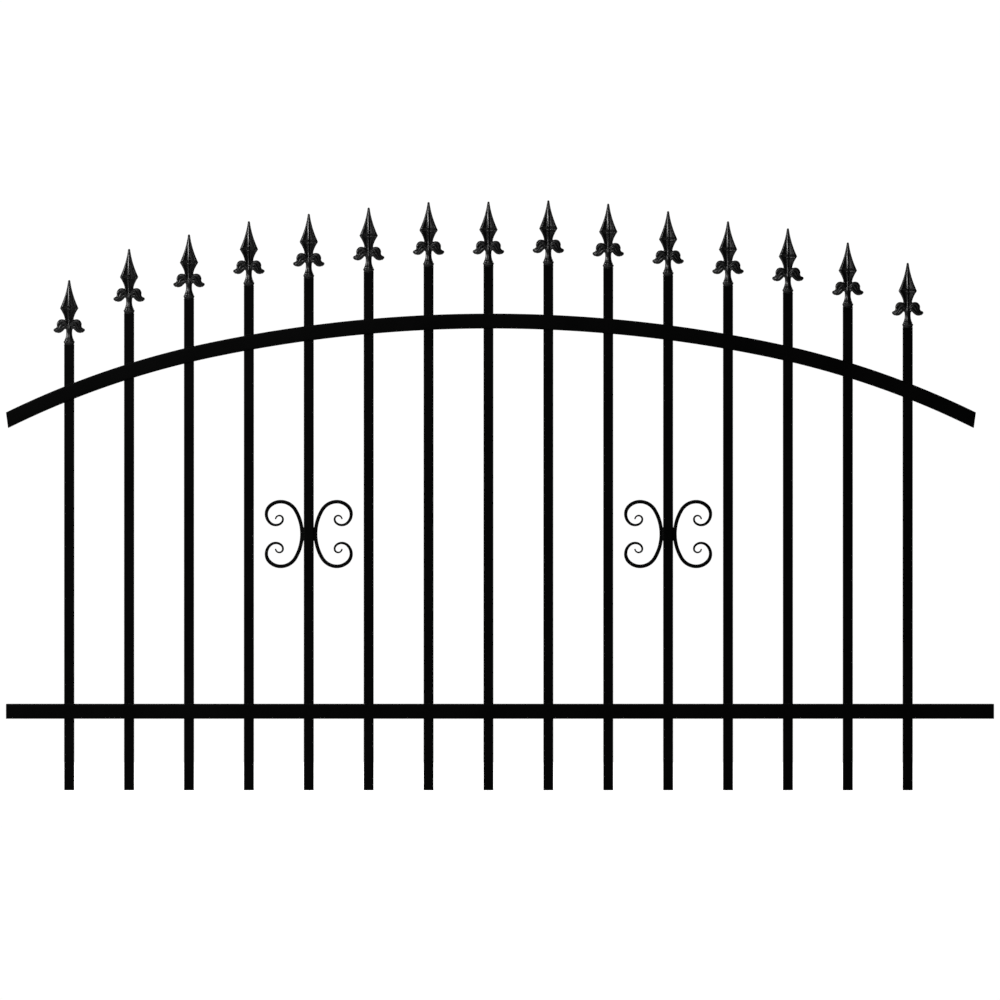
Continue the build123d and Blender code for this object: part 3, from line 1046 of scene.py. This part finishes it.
@dataclass
class Finials:
    """Cast spear finials: turned foot, rolled leaves and a ridged blade.

    Heights are above the top of the bar, and every shape size is in millimetres.
    """

    shop: Workshop
    bars: Bars
    grain: float = 0.6
    smoothing: float = 0.5
    smoothing_rounds: int = 3

    # Blade: heights and half widths, and how its sides bow above and below the widest place
    tip: float = 132.4
    tip_half_width: float = 2.1
    widest: float = 75.0
    half_width: float = 19.0
    half_depth: float = 7.2
    waist: float = 53.0
    waist_half_width: float = 9.1
    waist_half_depth: float = 5.5
    blade_foot: float = 37.0
    foot_half_width: float = 5.6
    narrowing: tuple[float, float] = (0.46, 0.54)
    flare_power: float = 1.48
    thinning_power: float = 0.72

    # Places across half a blade: shares of its half width and of the ridge's half width
    # that add up to the distance from the middle, and the share of the half depth there
    section: tuple[tuple[float, float, float], ...] = (
        (0, 0, 1.0), (0, 0.5, 0.74), (0, 1, 0.40), (0.4, 0.5, 0.56), (0.76, 0, 0.76),
        (0.89, 0, 0.44), (1, 0, 0.0))
    ridge_half_width: float = 2.9
    ridge_share: float = 0.42
    least_size: float = 0.02

    # Levels of the blade: coarse steps, fine ones across the notch, and the tip's
    coarse_step: float = 1.0
    fine_step: float = 0.4
    notch_zone: tuple[float, float] = (70, 80)
    tip_zone: float = 128.0
    tip_levels: int = 9

    # Notch round the blade and the lip below it: share of the depth, place and reach
    notch_share: float = 0.5
    notch_rise: float = 1.2
    notch_reach: float = 1.3
    lip_share: float = 0.12
    lip_reach: float = 1.5

    # Nubs under the notch, on the ridges and at the rims
    nub_half_width: float = 3.3
    nub_half_depth: float = 1.7
    nub_half_height: float = 2.3
    nub_height: float = 72.6
    nub_sink: float = 0.2
    nub_levels: int = 17
    nub_sides: int = 20
    nub_pole: float = 88.0
    rim_nub_inset: float = 3.4
    rim_nub_y: float = 4.2

    # Radius and height up the foot: base, rounded cup, bead and waisted stem
    foot_profile: tuple[tuple[float, float], ...] = (
        (9.7, 0.0), (9.9, 1.6), (10.2, 4.0), (11.2, 6.2), (11.1, 7.6), (10.0, 8.6),
        (8.9, 9.0), (9.4, 10.2), (9.1, 11.6), (8.1, 13.2), (7.3, 16.0), (6.4, 20.0),
        (6.05, 24.5), (6.2, 29.0), (6.4, 33.0), (5.9, 38.0), (4.4, 43.0), (2.2, 47.0))
    foot_steps: int = 4

    # Lobes of the right-hand leaf, outer, middle and inner: X, height, half width, half depth
    lobes: tuple[tuple[tuple[float, float, float, float], ...], ...] = (
        ((1.5, 38.0, 2.4, 4.6), (5.5, 44.4, 3.1, 5.2), (11.4, 48.4, 3.7, 5.6),
         (17.6, 48.0, 4.2, 5.7), (21.2, 43.6, 4.0, 5.4), (21.7, 38.2, 3.4, 4.8),
         (24.6, 33.0, 3.2, 4.3), (31.7, 29.1, 3.7, 3.8)),
        ((2.0, 34.0, 2.0, 4.9), (6.0, 40.5, 2.5, 5.6), (10.6, 43.7, 2.8, 6.0),
         (14.8, 41.8, 2.9, 6.0), (17.8, 36.6, 3.1, 5.6), (21.6, 31.2, 3.3, 5.0),
         (29.9, 27.7, 3.4, 4.0)),
        ((3.0, 31.0, 2.4, 4.9), (6.6, 36.0, 3.3, 5.5), (10.8, 36.8, 4.4, 5.8),
         (14.8, 33.0, 4.6, 5.7), (19.2, 29.3, 4.2, 5.0), (26.6, 27.7, 3.2, 3.9)))
    lobe_steps: int = 10
    lobe_sides: int = 28
    lobe_least_width: float = 0.1
    lobe_least_closing: float = 0.03

    # Welds at the bar's corners, in degrees round the finial's foot
    weld_corners: tuple[float, ...] = (45, 135, 225, 315)
    weld_half_turn: float = 15.0
    weld_points: int = 7
    weld_circle: float = 10.9 * MM
    weld_lift: float = 0.1 * MM
    weld_radius: float = 1.1 * MM
    weld_pitch: float = 1.2 * MM
    weld_seed: int = 7

    def blade_half_width(self, z: float) -> float:
        """Half the blade's width.

        Args:
            z: Height above the bar.

        Returns:
            The half width there.
        """
        if z >= self.widest:
            share = (self.tip - z) / (self.tip - self.widest)
            straight, bowed = self.narrowing
            blade = self.half_width * (straight * share + bowed * share**2)
            return blade + self.tip_half_width * (1 - share)
        if z >= self.waist:
            share = (z - self.waist) / (self.widest - self.waist)
            flare = (self.half_width - self.waist_half_width) * share**self.flare_power
            return self.waist_half_width + flare
        share = (z - self.blade_foot) / (self.waist - self.blade_foot)
        return self.foot_half_width + (self.waist_half_width - self.foot_half_width) * share

    def blade_half_depth(self, z: float) -> float:
        """Half the blade's depth along its ridge, with the notch and its lip.

        Args:
            z: Height above the bar.

        Returns:
            The half depth there.
        """
        if z >= self.widest:
            width_share = self.blade_half_width(z) / self.half_width
            depth = self.half_depth * width_share**self.thinning_power
        else:
            share = max(0.0, (z - self.waist) / (self.widest - self.waist))
            depth = self.waist_half_depth + (self.half_depth - self.waist_half_depth) * share
        from_notch = (z - self.widest - self.notch_rise) / self.notch_reach
        from_lip = (z - self.nub_height) / self.lip_reach
        notch = self.notch_share * math.exp(-from_notch**2)
        lip = self.lip_share * math.exp(-from_lip**2)
        return depth * (1 - notch + lip)

    def blade(self) -> Shell:
        """Blade with a ridge down each face, a hollow beside it and a raised rim.

        Returns:
            The blade's closed shell.
        """
        notch_low, notch_high = self.notch_zone
        levels = np.concatenate([np.arange(self.blade_foot, notch_low, self.coarse_step),
                                 np.arange(notch_low, notch_high, self.fine_step),
                                 np.arange(notch_high, self.tip_zone, self.coarse_step),
                                 np.linspace(self.tip_zone, self.tip, self.tip_levels)])
        rings = []
        for z in levels:
            near_tip = max(0.0, 1 - (self.tip - z) / self.tip_half_width)
            closing = math.sqrt(max(0.0, 1 - near_tip**2))
            width = max(self.blade_half_width(z) * closing, self.least_size)
            depth = max(self.blade_half_depth(z) * closing, self.least_size)
            ridge = min(self.ridge_half_width, self.ridge_share * width)
            half = [(by_width * width + by_ridge * ridge, depth * above)
                    for by_width, by_ridge, above in self.section]
            front = [(-x, -y) for x, y in reversed(half)] + [(x, -y) for x, y in half[1:]]
            back = [(x, y) for x, y in reversed(half)][1:] + [(-x, y) for x, y in half[1:-1]]
            rings.append(np.array([(x, y, z) for x, y in front + back]))
        return stack_rings(rings)

    def foot(self) -> Shell:
        """Turned foot, up to where the stem ends inside the blade."""
        return turned(through(self.foot_profile, self.foot_steps))

    def nub(self, x: float, y: float) -> Shell:
        """Small oval nub just below the notch.

        Args:
            x: X of its middle, from the finial's own middle.
            y: Y of its middle.

        Returns:
            The nub's closed shell.
        """
        angles = np.radians(np.linspace(-self.nub_pole, self.nub_pole, self.nub_levels))
        profile = np.column_stack([np.cos(angles), np.sin(angles)])
        points, faces = turned(profile, self.nub_sides)
        sizes = np.array([self.nub_half_width, self.nub_half_depth, self.nub_half_height])
        return points * sizes + np.array([x, y, self.nub_height]), faces

    def nubs(self) -> list[Shell]:
        """All nubs of a finial: one on each ridge, and four at the rims.

        Returns:
            The nubs' closed shells.
        """
        ridge = self.blade_half_depth(self.nub_height) - self.nub_sink
        rim = self.blade_half_width(self.nub_height) - self.rim_nub_inset
        places = [(0, -ridge), (0, ridge)]
        places += [(x, y) for x in (-rim, rim) for y in (-self.rim_nub_y, self.rim_nub_y)]
        return [self.nub(x, y) for x, y in places]

    def lobe(self, points: Sequence[Sequence[float]]) -> Shell:
        """One rolled lobe of a leaf.

        Args:
            points: Rows of X, Z, half width and half depth along the lobe.

        Returns:
            The lobe's closed shell, with rounded ends.
        """
        line = through(points, self.lobe_steps)
        steps = np.hypot(*np.diff(line[:, :2], axis=0).T)
        walked = np.concatenate([[0.0], np.cumsum(steps)])
        from_end = np.minimum(walked, walked[-1] - walked)
        reach = np.minimum(1.0, from_end / np.maximum(line[:, 2], self.lobe_least_width))
        closing = np.maximum(np.sqrt(1 - (1 - reach) ** 2), self.lobe_least_closing)
        ahead = np.gradient(line[:, :2], axis=0)
        ahead /= np.hypot(*ahead.T)[:, None]
        angles = np.arange(self.lobe_sides) * 2 * math.pi / self.lobe_sides
        rings = []
        for (x, z, width, depth), (along_x, along_z), close in zip(line, ahead, closing):
            sideways = width * close * np.cos(angles)
            rings.append(np.column_stack([x - along_z * sideways,
                                          depth * close * np.sin(angles),
                                          z + along_x * sideways]))
        return stack_rings(rings)

    def casting(self) -> bpy.types.Mesh:
        """Make one finial as a single smooth skin.

        Returns:
            Its mesh in metres, standing on Z = 0.
        """
        shells = [self.blade(), self.foot()] + self.nubs()
        for points, faces in [self.lobe(points) for points in self.lobes]:
            mirrored = points * np.array([-1.0, 1.0, 1.0])
            shells += [(points, faces), (mirrored, [face[::-1] for face in faces])]
        points, faces = join_shells(shells)
        mesh = mesh_from("finial casting", points * MM, faces)

        def fuse(worker: bpy.types.Object) -> None:
            """Fuse the shells and soften the seams, as a casting's are.

            Args:
                worker: The object that gets the modifiers.
            """
            remesh = worker.modifiers.new("fuse", "REMESH")
            remesh.mode = "VOXEL"
            remesh.voxel_size = self.grain * MM
            smooth = worker.modifiers.new("soften", "SMOOTH")
            smooth.factor = self.smoothing
            smooth.iterations = self.smoothing_rounds

        mesh = with_modifiers(mesh, fuse)
        mesh.shade_smooth()
        return mesh

    def weld_lines(self, seat: Vector) -> list[np.ndarray]:
        """Middle lines of the welds round one finial's foot.

        Args:
            seat: Middle of the foot, on top of the bar.

        Returns:
            One short arc for each corner of the bar.
        """
        lines = []
        for corner in self.weld_corners:
            angles = np.radians(np.linspace(corner - self.weld_half_turn,
                                            corner + self.weld_half_turn, self.weld_points))
            lines.append(np.column_stack([seat.x + self.weld_circle * np.cos(angles),
                                          self.weld_circle * np.sin(angles),
                                          np.full(self.weld_points, seat.z + self.weld_lift)]))
        return lines

    def make(self) -> None:
        """Stand a casting on every bar and weld it on."""
        casting = self.casting()
        lines = []
        for number, bar in enumerate(self.bars.boxes, start=1):
            seat = Vector((middle_of(bar).x, 0, bar[1].z))
            name = f"finial_{number:02d}"
            mesh = casting.copy()
            mesh.name = name
            mesh.transform(Matrix.Translation(seat))
            finish_piece(f"{name}_casting", mesh, self.shop.finishes[Slot.FINIAL],
                         Slot.FINIAL, name)
            lines += self.weld_lines(seat)
        bpy.data.meshes.remove(casting)
        beads = self.shop.lay_beads("finial_welds", lines, self.weld_radius, self.weld_pitch,
                                    self.weld_seed)
        finish_piece("finial_weld_beads", beads, self.shop.finishes[Slot.WELD], Slot.WELD,
                     "finial_welds")


@dataclass
class Scrolls:
    """Pairs of C scrolls that stand back to back on a bar.

    Each half is a row of tangent arcs, given as radius in millimetres and turn in degrees,
    from the belly beside the bar to the tip of the curl.
    """

    shop: Workshop
    bars: Bars
    bar_numbers: tuple[int, ...] = (5, 11)
    depth: float = 12 * MM
    thickness: float = 7.4 * MM
    tip_thickness: float = 2.8 * MM
    corner: float = 1.6 * MM
    crown: float = 0.7 * MM
    arcs: tuple[tuple[float, float], ...] = ((94.5, 31), (34.7, 59), (31.6, 45), (22.7, 45),
                                             (24, 45), (17.5, 45), (15.8, 45), (10.4, 45),
                                             (7.3, 90), (7.6, 80))
    full_arcs: int = 3
    turn_step: float = 3.0
    tip_shares: tuple[float, ...] = (0.3, 0.55, 0.75, 0.9, 1.0)
    weld_length: float = 25 * MM
    weld_radius: float = 1.7 * MM
    weld_pitch: float = 1.6 * MM
    weld_points: int = 15
    weld_rise: float = 0.3
    weld_setback: float = 0.4
    weld_seed: int = 11

    def half_path(self) -> np.ndarray:
        """Centreline of half a scroll, from the belly to the tip.

        Returns:
            Rows of distance from the bar and height above the belly.
        """
        out, up, heading = self.thickness / 2, 0.0, 0.0
        line = [(out, up)]
        for radius, turn in self.arcs:
            steps = math.ceil(turn / self.turn_step)
            for _ in range(steps):
                step = math.radians(turn) / steps
                out += radius * MM * (math.cos(heading) - math.cos(heading + step))
                up += radius * MM * (math.sin(heading + step) - math.sin(heading))
                heading += step
                line.append((out, up))
        end = self.tip_thickness / 2
        for share in self.tip_shares:
            line.append((out + end * share * math.sin(heading),
                         up + end * share * math.cos(heading)))
        return np.array(line)

    def make(self) -> None:
        """Make the four scrolls and the welds that hold them to their bars."""
        half = self.half_path()
        lengths = [math.radians(turn) * radius * MM for radius, turn in self.arcs]
        taper = sum(lengths[self.full_arcs:])
        welds = []
        for number in self.bar_numbers:
            bar = self.bars.boxes[number - 1]
            for side in Side:
                node = f"scroll_{number:02d}_{side.word}"
                low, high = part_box(node)
                middle_z = (low.z + high.z) / 2
                wall = bar[0].x if side is Side.LEFT else bar[1].x
                whole = np.vstack([half[::-1] * (1, -1), half[1:]])
                path = np.column_stack([wall + side.value * whole[:, 0],
                                        np.zeros(len(whole)), middle_z + whole[:, 1]])
                mesh = self.shop.lay_stock(node, path, Slot.SCROLL, self.thickness, self.depth,
                                           self.corner, self.crown, taper,
                                           self.tip_thickness / self.thickness)
                mesh.shade_smooth()
                finish_piece(f"{node}_forging", mesh, self.shop.finishes[Slot.SCROLL],
                             Slot.SCROLL, node)
                shares = np.linspace(-0.5, 0.5, self.weld_points)
                for face in (-1, 1):
                    y = face * (self.depth / 2 + self.weld_radius * self.weld_rise)
                    x = wall + side.value * self.weld_radius * self.weld_setback
                    welds.append(np.array([(x, y, middle_z + share * self.weld_length)
                                           for share in shares]))
        beads = self.shop.lay_beads("scroll_welds", welds, self.weld_radius, self.weld_pitch,
                                    self.weld_seed)
        finish_piece("scroll_weld_beads", beads, self.shop.finishes[Slot.WELD], Slot.WELD,
                     "scroll_welds")


# ---------------------------------------------------------------------------------------
# Studio
# ---------------------------------------------------------------------------------------


@dataclass(frozen=True)
class Lamp:
    """A soft square light: name, place, what it faces, side length and power in watts."""

    name: str
    place: tuple[float, float, float]
    target: tuple[float, float, float]
    size: float
    power: float

    def hang(self) -> None:
        """Hang the light and aim it."""
        data = bpy.data.lights.new(self.name, "AREA")
        data.size = self.size
        data.energy = self.power
        light = bpy.data.objects.new(self.name, data)
        light.location = self.place
        aim = Vector(self.target) - Vector(self.place)
        light.rotation_euler = aim.to_track_quat("-Z", "Y").to_euler()
        bpy.context.collection.objects.link(light)


@dataclass
class Studio:
    """White studio: floor, soft lights, plain surroundings and a long-lens camera."""

    view_width: float = 2.0243
    view_height_middle: float = 0.5879
    front_y: float = -0.012
    lens: float = 400.0
    sensor: float = 36.0
    clip_share: float = 4.0
    floor_reach: float = 2.4
    floor_grey: float = 0.93
    seen_white: float = 1.02
    felt_white: float = 0.03
    lamps: tuple[Lamp, ...] = (
        Lamp("front", (-1.5, -5.1, 2.9), (0.0, 0.0, 0.9), 1.3, 135.0),
        Lamp("side", (-5.6, -0.9, 2.3), (0.0, 0.0, 0.9), 1.5, 300.0),
        Lamp("top", (0.0, 0.0, 4.5), (0.0, 0.0, 0.0), 3.0, 30.0),
        Lamp("back", (3.0, 5.0, 3.0), (0.0, 0.0, 0.6), 3.0, 25.0))

    def make_camera(self) -> None:
        """Stand the camera square in front of the panel, with a lens that keeps it flat."""
        data = bpy.data.cameras.new("camera")
        data.lens = self.lens
        data.sensor_width = self.sensor
        distance = self.view_width * self.lens / self.sensor
        data.clip_end = self.clip_share * distance
        camera = bpy.data.objects.new("camera", data)
        camera.location = (0.0, self.front_y - distance, self.view_height_middle)
        camera.rotation_euler = (math.pi / 2, 0.0, 0.0)
        bpy.context.collection.objects.link(camera)
        bpy.context.scene.camera = camera

    def make_floor(self) -> None:
        """Lay the pale floor."""
        mesh = bpy.data.meshes.new("floor")
        reach = self.floor_reach
        corners = [(-reach, -reach, 0), (reach, -reach, 0), (reach, reach, 0), (-reach, reach, 0)]
        mesh.from_pydata(corners, [], [(0, 1, 2, 3)])
        floor = bpy.data.objects.new("floor", mesh)
        bpy.context.collection.objects.link(floor)
        made = bpy.data.materials.new("pale floor")
        made.use_nodes = True
        t = Tree(made.node_tree)
        seen = t.add("ShaderNodeLightPath").outputs["Is Camera Ray"]
        shader = t.add("ShaderNodeBsdfPrincipled", {"Base Color": (*[self.floor_grey] * 3, 1.0),
                                                    "Roughness": 0.9, "Specular IOR Level": 0.1,
                                                    "Emission Color": (1.0, 1.0, 1.0, 1.0),
                                                    "Emission Strength": seen})
        t.add("ShaderNodeOutputMaterial", {"Surface": shader.outputs[0]})
        mesh.materials.append(made)

    def make_world(self) -> None:
        """Surround the panel with white for the eye and a dim grey for reflections."""
        world = bpy.data.worlds.new("studio")
        bpy.context.scene.world = world
        world.use_nodes = True
        t = Tree(world.node_tree)
        rays = t.add("ShaderNodeLightPath").outputs["Is Camera Ray"]
        seen = t.add("ShaderNodeBackground", {"Color": (1, 1, 1, 1), "Strength": self.seen_white})
        felt = t.add("ShaderNodeBackground", {"Color": (1, 1, 1, 1), "Strength": self.felt_white})
        mix = t.add("ShaderNodeMixShader", {0: rays, 1: felt.outputs[0], 2: seen.outputs[0]})
        t.add("ShaderNodeOutputWorld", {"Surface": mix.outputs[0]})

    def make(self) -> None:
        """Set up the whole studio."""
        self.make_camera()
        self.make_floor()
        self.make_world()
        for lamp in self.lamps:
            lamp.hang()
        view = bpy.context.scene.view_settings
        view.view_transform = "Standard"
        view.look = "None"


def main() -> None:
    """Build the panel piece by piece and set up the studio."""
    logging.basicConfig(level=logging.INFO, format="%(name)s %(message)s")
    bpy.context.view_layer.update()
    Studio().make()
    shop = Workshop()
    bars = Bars(shop)
    Rails(shop).make(bars)
    bars.make()
    Finials(shop, bars).make()
    Scrolls(shop, bars).make()


if __name__ == "__main__":
    main()
